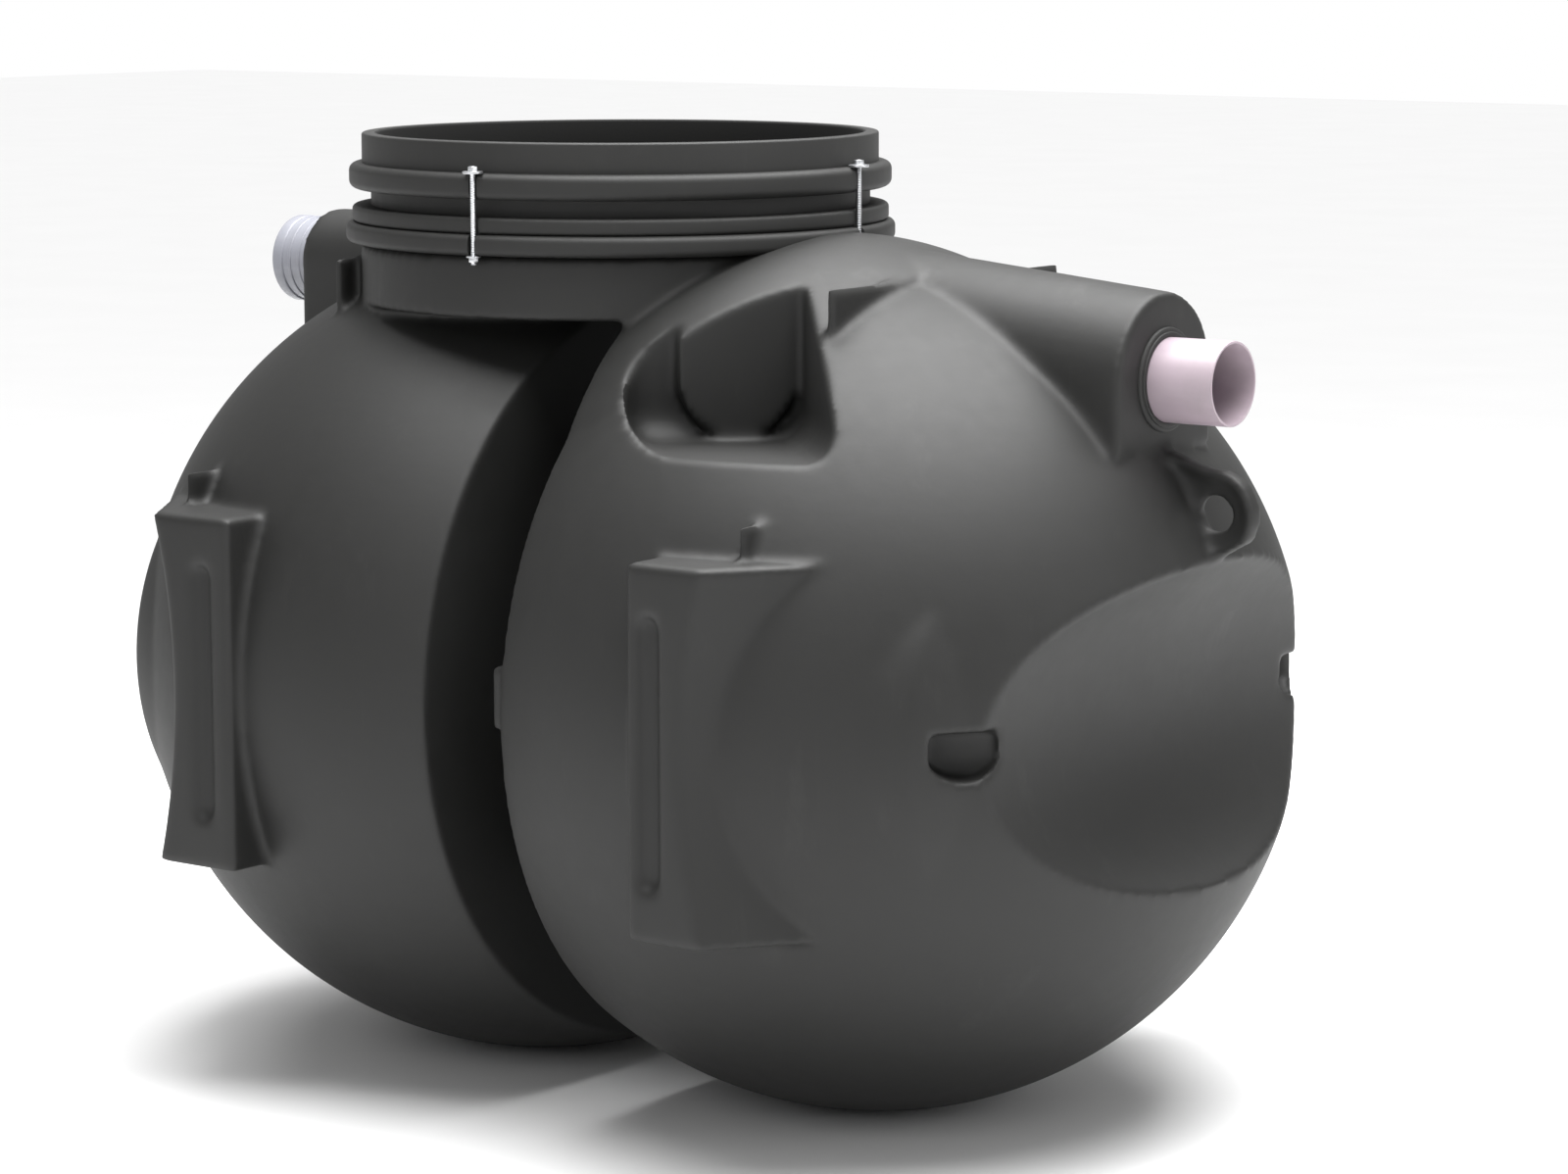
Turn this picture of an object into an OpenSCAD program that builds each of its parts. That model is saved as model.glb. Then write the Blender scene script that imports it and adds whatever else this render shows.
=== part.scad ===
/* [Chambers] */
// Outside radius of each round chamber
chamber_r = 575; // [540:5:620]
// Distance between the centres of the two chambers
chamber_spacing = 586; // [570:2:610]
// Wall of the moulded tank
wall = 8; // [6:1:12]
// Radius of the flat that each chamber stands on
seat_r = 90; // [75:5:110]
// Half the width of the groove between the chambers
groove_half = 65; // [55:1:75]
// Outside radius of the passage that joins the chambers in the groove
passage_r = 290; // [260:5:320]
// Height above the centre at which the base cap of a chamber begins, as a drop
base_drop = 470; // [440:5:490]

/* [Neck under the riser] */
// Distance of the riser's axis from the middle of the tank, towards the inlet
riser_offset = 151; // [130:1:170]
// Outside radius of the neck
neck_r = 362; // [355:1:366]
// Height of the neck's floor over the groove, above the chamber centres
neck_floor_rise = 505; // [495:1:515]
// Height of the neck's top under the flange, above the chamber centres
neck_top_rise = 590; // [584:1:596]
// Outside radius of the rolled flange on the neck
flange_r = 383; // [378:1:388]
// Height of the rolled flange
flange_h = 28; // [24:1:32]

/* [Riser] */
// Outside radius of the riser's rim
riser_r = 360; // [356:1:364]
// Wall of the riser
riser_wall = 9; // [7:1:10]
// Height of the riser's foot ring
foot_h = 23; // [20:1:26]
// Outside radius of the riser's foot ring
foot_r = 374; // [370:1:377]
// Outside radius of the recessed band
band_r = 348; // [345:1:351]
// Height of the recessed band
band_h = 23; // [20:1:26]
// Height of the clamping bead
bead_h = 35; // [30:1:40]
// Outside radius of the clamping bead
bead_r = 378; // [375:1:381]
// Height of the plain rim above the bead
rim_h = 41; // [34:1:60]

/* [Roof and pockets of the outlet chamber] */
// Radius of the raised roof that runs from the neck down onto the outlet chamber
roof_r = 472; // [465:1:480]
// Distance of the roof's centre from the middle of the tank
roof_x = 222; // [215:1:230]
// Height of the roof's centre above the chamber centres
roof_rise = 141; // [135:1:147]
// Distance of the upright webs at the roof's end from the middle of the tank
web_x = 402; // [395:1:410]
// Distance of the inlet webs from the middle of the tank
inlet_web_x = 445; // [438:1:452]
// Half the width over a pair of webs
web_reach = 265; // [255:1:275]
// Height of the webs' level top edge above the chamber centres
web_rise = 566; // [560:1:572]
// Thickness of a web
web_t = 11; // [8:1:14]
// Distance of a pocket's back wall from the chamber's axis
pocket_back = 124; // [120:1:135]
// Width of a pocket
pocket_w = 237; // [225:1:245]
// Distance of a pocket's side wall from the chamber's axis, across the pocket
pocket_side = 125; // [120:1:130]
// Height of a pocket's floor above the chamber centres
pocket_floor = 355; // [345:1:360]
// Radius of the blank pipe face in a pocket
blank_r = 77; // [72:1:82]
// How far the blank pipe face stands out of the pocket's back wall
blank_out = 31; // [20:1:36]

/* [Channel, blades and slots at the ends] */
// Radius of the channel across the end of a chamber
channel_r = 262; // [255:1:268]
// Distance of the channel's axis from the middle of the tank
channel_x = 983; // [975:1:990]
// Height of the channel's axis above the chamber centres
channel_rise = 5; // [-5:1:15]
// Radius of the blade's crest
blade_r = 304.6; // [300:0.2:312]
// Distance of the blade's crest from the middle of the tank
blade_x = 663; // [655:1:670]
// Distance of the crest's centre from the long axis
blade_y = 146; // [142:1:150]
// Width of a strap slot
slot_w = 94; // [85:1:100]
// Height of a strap slot's top above the chamber centres
slot_top = 36; // [30:1:42]
// Height of a strap slot in its middle
slot_h = 61; // [55:1:66]
// Depth of a strap slot
slot_depth = 42; // [30:1:50]

/* [Lifting ears and groove tabs] */
// Distance of a lifting ear's eye from the middle of the tank
ear_x = 826; // [820:1:832]
// Height of the eye above the chamber centres
ear_rise = 277; // [270:1:284]
// Outside radius of a lifting ear
ear_r = 58; // [54:1:62]
// Radius of the eye
eye_r = 23; // [20:1:26]
// Thickness of a lifting ear's rim
ear_t = 26; // [20:1:30]
// Thickness of a lifting ear's plate inside its rim
ear_web_t = 12; // [8:1:16]
// Width of a lifting ear's rim
ear_rim = 12; // [8:1:16]
// Height of a groove tab
tab_h = 86; // [80:1:92]
// How far a groove tab stands out of the waist wall
tab_out = 24; // [16:1:30]

/* [Clamp bolts] */
// Radius of the circle that the clamp bolts stand on
clamp_circle = 377; // [375:0.5:379]
// Radius of a clamp bolt
bolt_r = 4; // [3:0.5:5]
// Angle of the first clamp bolt round the riser
clamp_turn = -82.5; // [-90:0.5:-70]
// Radius of a clamp washer
washer_r = 14; // [12:0.5:15]

/* [Pipe hoods] */
// Distance of the outlet hood's end face from the middle of the tank
outlet_face_x = 746; // [735:1:755]
// Height of the outlet pipe's axis above the chamber centres
outlet_rise = 445; // [435:1:455]
// Distance of the inlet hood's end face from the middle of the tank
inlet_face_x = 690; // [680:1:700]
// Height of the inlet pipe's axis above the chamber centres
inlet_rise = 537; // [520:1:545]
// Radius of the outlet hood's arched end
hood_r = 112; // [105:1:120]
// Radius of the inlet hood's arched end
inlet_hood_r = 75; // [73:1:80]
// Depth of the outlet hood's straight sides below the pipe's axis
hood_drop = 90; // [80:1:100]
// Fall of the outlet hood's ridge towards its end face, in degrees
hood_fall = 5.5; // [4:0.1:7]

/* [Pipes] */
// Outside radius of the pipe stub
pipe_r = 55; // [50:1:60]
// Wall of the pipe stub
pipe_wall = 3.2; // [2.5:0.1:4]
// Length of the outlet stub that stands out of the hood
outlet_stub = 101; // [80:1:140]
// How far the outlet seal stands out of the hood
seal_out = 6; // [4:1:8]
// How much smaller the pipe is in radius where it goes through the seal
pipe_step = 1; // [0.5:0.1:1.5]
// Outside radius of the rubber seal round a pipe
seal_r = 68; // [66:1:70]
// Length of the inlet socket that stands out of the hood
socket_out = 70; // [60:1:90]
// Outside radius of the inlet socket's mouth
mouth_r = 63; // [61:1:66]

/* [Foot pads] */
// Distance of a pad's outer face from the middle of the tank
pad_face_y = 592; // [580:1:605]
// Distance of an outlet pad's edge nearest the groove from the middle of the tank
pad_near_x = 325; // [315:1:335]
// How much further from the groove the inlet pads stand
pad_shift = 29; // [20:1:40]
// Width of an outlet pad's outer face at its top and bottom
pad_w = 120; // [110:1:130]
// How much wider the inlet pads are
pad_more = 18; // [10:1:24]
// Height of a pad
pad_h = 482; // [440:2:500]
// Radius of the hollow side of a pad
pad_hollow_r = 1114; // [1000:2:1200]
// Turn of a pad's hollow side against the tank's long axis, in degrees
pad_turn = 54; // [50:1:58]
// How deep the hollow side of a pad is at its middle
pad_hollow = 27; // [22:1:32]
// Width of the groove down a pad's face
groove_w = 34; // [28:1:40]
// Depth of the groove down a pad's face
groove_d = 12; // [8:1:16]
// Length of the groove down a pad's face
groove_l = 352; // [330:2:370]

/* [Hidden] */
$fn = 144;

shell_black = [0.16, 0.16, 0.165];
rubber_black = [0.08, 0.08, 0.085];
pipe_grey = [0.78, 0.72, 0.76];
socket_grey = [0.62, 0.63, 0.66];
steel_grey = [0.75, 0.76, 0.78];

// Chamber centres: the tank stands on the flats, so the centre is a little under one radius up
centre_z = sqrt(chamber_r * chamber_r - seat_r * seat_r);
inlet_x = -chamber_spacing / 2;
outlet_x = chamber_spacing / 2;
inner_r = chamber_r - wall;
reach = 2 * chamber_r + chamber_spacing;
riser_x = -riser_offset;
neck_floor_z = centre_z + neck_floor_rise;
neck_top_z = centre_z + neck_top_rise;
flange_top_z = neck_top_z + flange_h;
foot_top_z = flange_top_z + foot_h;
band_top_z = foot_top_z + band_h;
bead_top_z = band_top_z + bead_h;
rim_top_z = bead_top_z + rim_h;
outlet_z = centre_z + outlet_rise;
inlet_z = centre_z + inlet_rise;
bore_r = band_r - riser_wall;
rim_r = sqrt(chamber_r * chamber_r - pow(chamber_spacing / 2 - groove_half, 2));
blade_near_x = blade_x - 172;
blade_end_x = blade_x - 336;
blank_z = pocket_floor + 4 + blank_r;
blank_across = -pocket_side - 0.37 * pocket_w;

// A box given by its two corners
module span(x0, y0, z0, x1, y1, z1) {
    translate([x0, y0, z0]) cube([x1 - x0, y1 - y0, z1 - z0]);
}

// The solid ball of one chamber
module ball(x, r) {
    translate([x, 0, centre_z]) sphere(r = r);
}

// Both sides of the tank, near and far, are alike
module both_sides() {
    children();
    mirror([0, 1, 0]) children();
}

// The raised roof of the outlet chamber, shrunk by inset for the space inside it
module roof_form(inset) {
    intersection() {
        translate([roof_x, 0, centre_z + roof_rise]) sphere(r = roof_r - inset, $fn = 2 * $fn);
        span(groove_half, -reach, centre_z + pocket_floor, web_x - inset, reach, reach);
    }
}

// A blade: the lens that two balls share, with its upright crest where they cross
module blade_form() {
    intersection() {
        translate([blade_near_x, -blade_y, centre_z + channel_rise])
            sphere(r = sqrt(blade_r * blade_r + pow(blade_x - blade_near_x, 2)));
        translate([blade_end_x, -blade_y, centre_z + channel_rise])
            sphere(r = sqrt(blade_r * blade_r + pow(blade_x - blade_end_x, 2)));
    }
}

// Places something that looks out of the outlet chamber's near side at 45 degrees, across and up from its centre
module quarter_view(across, rise) {
    translate([outlet_x, 0, centre_z]) rotate([0, 0, -45]) translate([0, across, rise])
        rotate([90, 0, 90]) children();
}

// The cut of a pocket in the near side, grown by wall for the space behind it, round its blank pipe face
module pocket_cut(grow) {
    difference() {
        quarter_view(-pocket_side, pocket_floor) translate([-pocket_w - grow, -grow, pocket_back - grow])
            cube([pocket_w + 2 * grow, reach, reach]);
        quarter_view(blank_across, blank_z)
            linear_extrude(height = pocket_back + blank_out - grow) {
                circle(r = blank_r - grow);
                translate([-blank_r + grow, 0]) square([2 * (blank_r - grow), reach]);
            }
    }
}

// The cut of a strap slot in the near side, straight on top and bowed below
module slot_cut(grow) {
    quarter_view(13, slot_top) translate([0, 0, chamber_r - slot_depth - grow])
        linear_extrude(height = 2 * slot_depth) intersection() {
            translate([0, 2]) circle(r = slot_h + 2 + grow);
            translate([-slot_w / 2 - grow, -slot_h - grow]) square([slot_w + 2 * grow, slot_h + 2 * grow]);
        }
}

// The cut of the channel across a chamber's end
module channel_cut(grow) {
    translate([channel_x, 0, centre_z + channel_rise]) rotate([90, 0, 0])
        cylinder(r = channel_r + grow, h = 2 * chamber_r, center = true);
}

// Turns what is made for the outlet end round for the inlet end
module at_end(side) {
    if (side > 0) children();
    else mirror([1, 0, 0]) children();
}

// The ball of a chamber with its blades, less its channel and slots
module chamber_outside(side) {
    difference() {
        union() {
            ball(side * chamber_spacing / 2, chamber_r);
            at_end(side) both_sides() blade_form();
            if (side > 0) roof_form(0);
        }
        at_end(side) channel_cut(0);
        at_end(side) both_sides() slot_cut(0);
        if (side > 0) both_sides() pocket_cut(0);
    }
}

// The space inside a chamber, one wall in from its outside
module chamber_inside(side) {
    difference() {
        union() {
            ball(side * chamber_spacing / 2, inner_r);
            if (side > 0) roof_form(wall);
        }
        at_end(side) channel_cut(wall);
        at_end(side) both_sides() slot_cut(wall);
        if (side > 0) both_sides() pocket_cut(wall);
        span(-reach, -reach, 0, reach, reach, wall);
    }
}

// Half of a chamber's wall, near or far, over a span of heights
module wall_segment(side, far, z0, z1) {
    face = groove_half + wall;
    difference() {
        intersection() {
            chamber_outside(side);
            span(side < 0 ? -reach : face, far < 0 ? -reach : 0, z0,
                 side < 0 ? -face : reach, far < 0 ? 0 : reach, z1);
        }
        chamber_inside(side);
    }
}

module base_cap(side) {
    difference() {
        ball(side * chamber_spacing / 2, chamber_r);
        intersection() {
            ball(side * chamber_spacing / 2, inner_r);
            span(-reach, -reach, wall, reach, reach, reach);
        }
        span(-reach, -reach, centre_z - base_drop, reach, reach, reach);
        span(-reach, -reach, -reach, reach, reach, 0);
        if (side < 0) span(-groove_half - wall, -reach, 0, reach, reach, reach);
        else span(-reach, -reach, 0, groove_half + wall, reach, reach);
    }
}

// What the space inside the neck and a hood takes out of the crown of a chamber, so that their walls stand on it
module crown_cut(side) {
    neck_form(neck_r - wall, neck_floor_z, reach);
    if (side > 0) outlet_hood_form(wall);
    else inlet_hood_form(wall);
}

module crown_segment(side, far) {
    difference() {
        wall_segment(side, far, centre_z, reach);
        crown_cut(side);
    }
}

module neck_form(r, z0, z1) {
    translate([riser_x, 0, z0]) cylinder(r = r, h = z1 - z0);
}

// A hood's outer form, shrunk by inset for the space inside it
module outlet_hood_form(inset) {
    intersection() {
        translate([outlet_face_x, 0, outlet_z]) rotate([0, hood_fall, 0]) rotate([90, 0, 90])
            translate([0, 0, -reach]) linear_extrude(height = reach + hood_r)
                arch_section(hood_r - inset, hood_drop - inset);
        span(riser_x, -reach, 0, outlet_face_x - inset, reach, reach);
    }
}

// The section of a hood: an arch on two straight sides, drawn looking along the tank
module arch_section(r, drop) {
    circle(r = r);
    translate([-r, -drop]) square([2 * r, drop]);
}

module inlet_hood_form(inset) {
    translate([-inlet_face_x + inset, 0, inlet_z]) rotate([90, 0, 90])
        linear_extrude(height = inlet_face_x - riser_offset) arch_section(inlet_hood_r - inset, 220);
}

module hood_rest() {
    ball(inlet_x, chamber_r);
    ball(outlet_x, chamber_r);
    roof_form(0);
    neck_form(neck_r, 0, neck_top_z);
    neck_form(flange_r, neck_top_z, reach);
}

// The near web of a pair: an upright plate across the tank, with a level top edge
module web_form(side) {
    x0 = side < 0 ? -inlet_web_x - web_t / 2 : web_x - web_t / 2;
    difference() {
        span(x0, -web_reach, centre_z + pocket_floor, x0 + web_t, side < 0 ? -150 : -40, centre_z + web_rise);
        ball(side * chamber_spacing / 2, chamber_r);
        if (side > 0) roof_form(0);
        if (side > 0) outlet_hood_form(0);
        neck_form(neck_r, 0, reach);
    }
}

module inlet_near_web() {
    color(shell_black) web_form(-1);
}

module inlet_far_web() {
    color(shell_black) mirror([0, 1, 0]) web_form(-1);
}

module outlet_near_web() {
    color(shell_black) web_form(1);
}

module outlet_far_web() {
    color(shell_black) mirror([0, 1, 0]) web_form(1);
}

// The side view of a lifting ear, set in from its edge
module ear_outline(inset) {
    translate([ear_x, ear_rise]) circle(r = ear_r - inset);
    polygon([[ear_x - 190, ear_rise + 60], [ear_x - 106, ear_rise + 89 - inset],
             [ear_x - 6, ear_rise + ear_r - inset - 1], [ear_x + 20, ear_rise],
             [ear_x, ear_rise - ear_r + inset + 3], [ear_x - 190, ear_rise - 150]]);
}

module ear_form(side) {
    at_end(side) difference() {
        translate([0, ear_t / 2, centre_z]) rotate([90, 0, 0]) linear_extrude(height = ear_t) ear_outline(0);
        for (y = [ear_t, -ear_web_t / 2]) translate([0, y, centre_z]) rotate([90, 0, 0])
            linear_extrude(height = ear_t - ear_web_t / 2) ear_outline(ear_rim);
        translate([ear_x, 0, centre_z + ear_rise]) rotate([90, 0, 0]) cylinder(r = eye_r, h = 2 * ear_t, center = true);
        ball(outlet_x, chamber_r);
        if (side > 0) outlet_hood_form(0);
        channel_cut(0);
    }
}

module inlet_ear() {
    color(shell_black) ear_form(-1);
}

module outlet_ear() {
    color(shell_black) ear_form(1);
}

module inlet_base() {
    color(shell_black) base_cap(-1);
}

module inlet_lower_near_wall() {
    color(shell_black) wall_segment(-1, -1, centre_z - base_drop, centre_z);
}

module inlet_lower_far_wall() {
    color(shell_black) wall_segment(-1, 1, centre_z - base_drop, centre_z);
}

module inlet_upper_near_wall() {
    color(shell_black) crown_segment(-1, -1);
}

module inlet_upper_far_wall() {
    color(shell_black) crown_segment(-1, 1);
}

// The inlet chamber's side of the groove: a ring turned about the tank's long axis, with the ball's surface as its rim
module inlet_waist_wall() {
    color(shell_black) difference() {
        translate([0, 0, centre_z]) rotate([0, 90, 0]) rotate_extrude() intersection() {
            translate([0, inlet_x]) circle(r = chamber_r);
            translate([passage_r - wall, -groove_half - wall]) square([chamber_r, wall]);
        }
        neck_form(neck_r, neck_floor_z, reach);
    }
}

module outlet_base() {
    color(shell_black) base_cap(1);
}

module outlet_lower_near_wall() {
    color(shell_black) wall_segment(1, -1, centre_z - base_drop, centre_z);
}

module outlet_lower_far_wall() {
    color(shell_black) wall_segment(1, 1, centre_z - base_drop, centre_z);
}

module outlet_upper_near_wall() {
    color(shell_black) crown_segment(1, -1);
}

module outlet_upper_far_wall() {
    color(shell_black) crown_segment(1, 1);
}

// The outlet chamber's side of the groove reaches up under the roof
module outlet_waist_wall() {
    color(shell_black) difference() {
        intersection() {
            union() {
                ball(outlet_x, chamber_r);
                roof_form(0);
            }
            span(groove_half, -reach, 0, groove_half + wall, reach, reach);
        }
        translate([0, 0, centre_z]) rotate([0, 90, 0]) cylinder(r = passage_r - wall, h = reach);
        neck_form(neck_r, neck_floor_z, reach);
        both_sides() pocket_cut(0);
    }
}

// A small tab on each side, in the groove, on the outlet chamber's waist wall
module waist_tabs() {
    color(shell_black) both_sides() intersection() {
        span(groove_half - tab_out, -rim_r + 12, centre_z - 14, groove_half, -rim_r + 36, centre_z - 14 + tab_h);
        ball(outlet_x, chamber_r + tab_out);
    }
}

module waist_passage() {
    color(shell_black) translate([-groove_half, 0, centre_z]) rotate([0, 90, 0]) difference() {
        cylinder(r = passage_r, h = 2 * groove_half);
        translate([0, 0, -1]) cylinder(r = passage_r - wall, h = 2 * groove_half + 2);
    }
}

module neck_floor() {
    color(shell_black) intersection() {
        neck_form(neck_r - wall, neck_floor_z, neck_floor_z + wall);
        span(-groove_half - wall, -reach, 0, groove_half + wall, reach, reach);
    }
}

module neck_wall(far) {
    difference() {
        neck_form(neck_r, neck_floor_z, neck_top_z);
        neck_form(neck_r - wall, neck_floor_z - 1, neck_top_z + 1);
        ball(inlet_x, chamber_r);
        ball(outlet_x, chamber_r);
        roof_form(0);
        outlet_hood_form(wall);
        inlet_hood_form(wall);
        if (far > 0) span(-reach, -reach, 0, reach, 0, reach);
        else span(-reach, 0, 0, reach, reach, reach);
    }
}

module neck_near_wall() {
    color(shell_black) neck_wall(-1);
}

module neck_far_wall() {
    color(shell_black) neck_wall(1);
}

// Repeats something at the four clamp bolts
module at_clamps() {
    translate([riser_x, 0, 0])
        for (turn = [0 : 90 : 270])
            rotate([0, 0, clamp_turn + turn]) translate([clamp_circle, 0, 0]) children();
}

// The notches that the clamp bolts stand in
module clamp_notches() {
    at_clamps() span(-bolt_r - 1, -bolt_r - 2, neck_top_z - 1, 20, bolt_r + 2, bead_top_z + 1);
}

module neck_flange() {
    color(shell_black) difference() {
        neck_form(flange_r, neck_top_z, flange_top_z);
        neck_form(bore_r, neck_top_z - 1, flange_top_z + 1);
        clamp_notches();
    }
}

module riser() {
    color(shell_black) difference() {
        union() {
            neck_form(foot_r, flange_top_z, foot_top_z);
            neck_form(band_r, foot_top_z, band_top_z);
            neck_form(bead_r, band_top_z, bead_top_z);
            neck_form(riser_r, bead_top_z, rim_top_z);
        }
        neck_form(bore_r, flange_top_z - 1, rim_top_z + 1);
        clamp_notches();
    }
}

module clamp_bolts() {
    color(steel_grey) at_clamps() translate([0, 0, neck_top_z - 3 * bolt_r])
        cylinder(r = bolt_r, h = bead_top_z - neck_top_z + 5.5 * bolt_r);
}

module clamp_washers() {
    color(steel_grey) at_clamps() {
        translate([0, 0, bead_top_z]) pipe_tube(washer_r, washer_r - bolt_r - 0.3, 3);
        translate([0, 0, neck_top_z - 2]) pipe_tube(2.5 * bolt_r, 1.5 * bolt_r - 0.3, 2);
    }
}

module clamp_nuts() {
    color(steel_grey) at_clamps() {
        translate([0, 0, bead_top_z + 3]) pipe_tube(1.8 * bolt_r, 0.8 * bolt_r - 0.3, 1.6 * bolt_r);
        translate([0, 0, neck_top_z - 2 - 1.6 * bolt_r]) pipe_tube(1.8 * bolt_r, 0.8 * bolt_r - 0.3, 1.6 * bolt_r);
    }
}

module outlet_hood() {
    color(shell_black) difference() {
        outlet_hood_form(0);
        outlet_hood_form(wall);
        hood_rest();
        translate([outlet_face_x - 3 * wall, 0, outlet_z]) rotate([0, 90, 0]) cylinder(r = seal_r, h = 6 * wall);
    }
}

module inlet_hood() {
    color(shell_black) difference() {
        inlet_hood_form(0);
        inlet_hood_form(wall);
        hood_rest();
        translate([-inlet_face_x - 3 * wall, 0, inlet_z]) rotate([0, 90, 0]) cylinder(r = seal_r, h = 6 * wall);
    }
}

module pipe_tube(r, thick, h) {
    difference() {
        cylinder(r = r, h = h);
        translate([0, 0, -1]) cylinder(r = r - thick, h = h + 2);
    }
}

module outlet_pipe() {
    color(pipe_grey) translate([outlet_face_x, 0, outlet_z]) rotate([0, 90, 0]) {
        translate([0, 0, -60]) pipe_tube(pipe_r - pipe_step, pipe_wall - pipe_step, 60 + seal_out);
        translate([0, 0, seal_out]) pipe_tube(pipe_r, pipe_wall, outlet_stub - seal_out);
    }
}

module outlet_seal() {
    color(rubber_black) translate([outlet_face_x - wall, 0, outlet_z]) rotate([0, 90, 0])
        pipe_tube(seal_r, seal_r - pipe_r + pipe_step, wall + seal_out);
}

module inlet_socket() {
    color(socket_grey) translate([-inlet_face_x - socket_out, 0, inlet_z]) rotate([0, 90, 0]) {
        pipe_tube(mouth_r, mouth_r - pipe_r, 20);
        translate([0, 0, 20]) pipe_tube(mouth_r - 2, mouth_r - 2 - pipe_r, socket_out + 20);
    }
}

module inlet_seal() {
    color(rubber_black) translate([-inlet_face_x - 4, 0, inlet_z]) rotate([0, 90, 0])
        pipe_tube(seal_r, seal_r - mouth_r + 2, wall + 4);
}

// A foot pad stands out of the chamber's flank: a straight side to the groove, a hollow side away from it, a groove
// down its face and a small lug on its top
module foot_pad(side, far) {
    x0 = side < 0 ? pad_near_x + pad_shift : pad_near_x;
    x1 = side < 0 ? x0 + pad_w + pad_more : x0 + pad_w;
    corner = x1 * sin(pad_turn) + pad_face_y * cos(pad_turn);
    mirror([side < 0 ? 1 : 0, 0, 0]) mirror([0, far > 0 ? 1 : 0, 0]) difference() {
        union() {
            span(x0, -pad_face_y, centre_z - pad_h / 2, x1 + pad_w, -pad_face_y / 2, centre_z + pad_h / 2);
            span(x1 + 1, -pad_face_y + 76, centre_z + pad_h / 2 - 4, x1 + 9, -pad_face_y + 136,
                 centre_z + pad_h / 2 + 48);
        }
        rotate([0, 0, pad_turn - 90]) translate([corner - pad_hollow + pad_hollow_r, 0, centre_z])
            rotate([90, 0, 0]) cylinder(r = pad_hollow_r, h = 4 * chamber_r, center = true, $fn = 1440);
        translate([x1 - 85, -pad_face_y + groove_d, centre_z]) rotate([90, 0, 0])
            linear_extrude(height = 2 * groove_d) {
                translate([-groove_w / 2, -(groove_l - groove_w) / 2]) square([groove_w, groove_l - groove_w]);
                translate([0, (groove_l - groove_w) / 2]) circle(d = groove_w);
                translate([0, -(groove_l - groove_w) / 2]) circle(d = groove_w);
            }
        ball(outlet_x, chamber_r, $fn = 216);
    }
}

module inlet_near_pad() {
    color(shell_black) foot_pad(-1, -1);
}

module inlet_far_pad() {
    color(shell_black) foot_pad(-1, 1);
}

module outlet_near_pad() {
    color(shell_black) foot_pad(1, -1);
}

module outlet_far_pad() {
    color(shell_black) foot_pad(1, 1);
}

inlet_base();
inlet_lower_near_wall();
inlet_lower_far_wall();
inlet_upper_near_wall();
inlet_upper_far_wall();
inlet_waist_wall();
outlet_base();
outlet_lower_near_wall();
outlet_lower_far_wall();
outlet_upper_near_wall();
outlet_upper_far_wall();
outlet_waist_wall();
waist_passage();
waist_tabs();
neck_floor();
neck_near_wall();
neck_far_wall();
neck_flange();
riser();
inlet_hood();
outlet_hood();
inlet_socket();
inlet_seal();
outlet_pipe();
outlet_seal();
inlet_near_pad();
inlet_far_pad();
outlet_near_pad();
outlet_far_pad();
inlet_near_web();
inlet_far_web();
outlet_near_web();
outlet_far_web();
inlet_ear();
outlet_ear();
clamp_bolts();
clamp_washers();
clamp_nuts();
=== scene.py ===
# %% [markdown]
# A septic tank of moulded plastic stands on the floor: two round chambers, a groove between them, a neck
# with an open riser on top, an inlet socket at one end and an outlet pipe at the other. The frame below is
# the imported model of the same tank. It sets every size, and this script gives it its moulded edges and its
# finishes.

# %% Load the frame
import math

import bpy
from mathutils import Matrix, Vector


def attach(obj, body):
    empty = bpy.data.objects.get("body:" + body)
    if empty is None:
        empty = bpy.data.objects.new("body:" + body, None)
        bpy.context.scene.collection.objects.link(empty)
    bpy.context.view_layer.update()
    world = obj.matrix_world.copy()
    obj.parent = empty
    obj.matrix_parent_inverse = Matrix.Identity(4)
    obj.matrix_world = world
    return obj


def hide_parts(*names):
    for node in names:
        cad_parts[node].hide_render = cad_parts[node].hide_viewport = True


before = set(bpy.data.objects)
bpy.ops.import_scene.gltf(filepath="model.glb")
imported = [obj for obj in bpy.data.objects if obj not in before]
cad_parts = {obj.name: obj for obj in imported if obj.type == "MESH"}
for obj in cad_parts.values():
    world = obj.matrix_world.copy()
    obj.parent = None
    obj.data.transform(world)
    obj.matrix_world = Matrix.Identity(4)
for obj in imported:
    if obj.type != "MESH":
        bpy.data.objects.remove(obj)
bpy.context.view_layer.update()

# %% [markdown]
# Sizes are repeated here in metres. Everything hangs on a few of them: the radius of the chambers, how far
# apart they are, and the height of their centres, which is a little under one radius because each stands on
# a flat. The sizes of a single form stand in its own cell.

# %% Sizes
CHAMBER_R = 0.575
HALF_SPACING = 0.293
WALL = 0.008
SEAT_R = 0.09
GROOVE = 0.065
PASSAGE_R = 0.29
CENTRE_Z = math.sqrt(CHAMBER_R ** 2 - SEAT_R ** 2)
BELT_Z = CENTRE_Z + 0.005
RISER_X = -0.151
NECK_R = 0.362
NECK_FLOOR = CENTRE_Z + 0.505
NECK_TOP = CENTRE_Z + 0.590
OUTLET_FACE, OUTLET_Z = 0.746, CENTRE_Z + 0.445
INLET_FACE, INLET_Z = -0.690, CENTRE_Z + 0.537
ASIDE, BEYOND = 1, 2  # how far a cutting box reaches: past the tank's sides, and past its ends and top
print("chamber centres at a height of", round(CENTRE_Z, 4))

# %% [markdown]
# Every operator in Blender acts on what is selected, so a small helper selects one object and nothing else.
# A second one adds a modifier and applies it at once, and a third gives a new primitive its name and puts
# its place into its mesh, so that the object itself stays at the origin.

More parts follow.
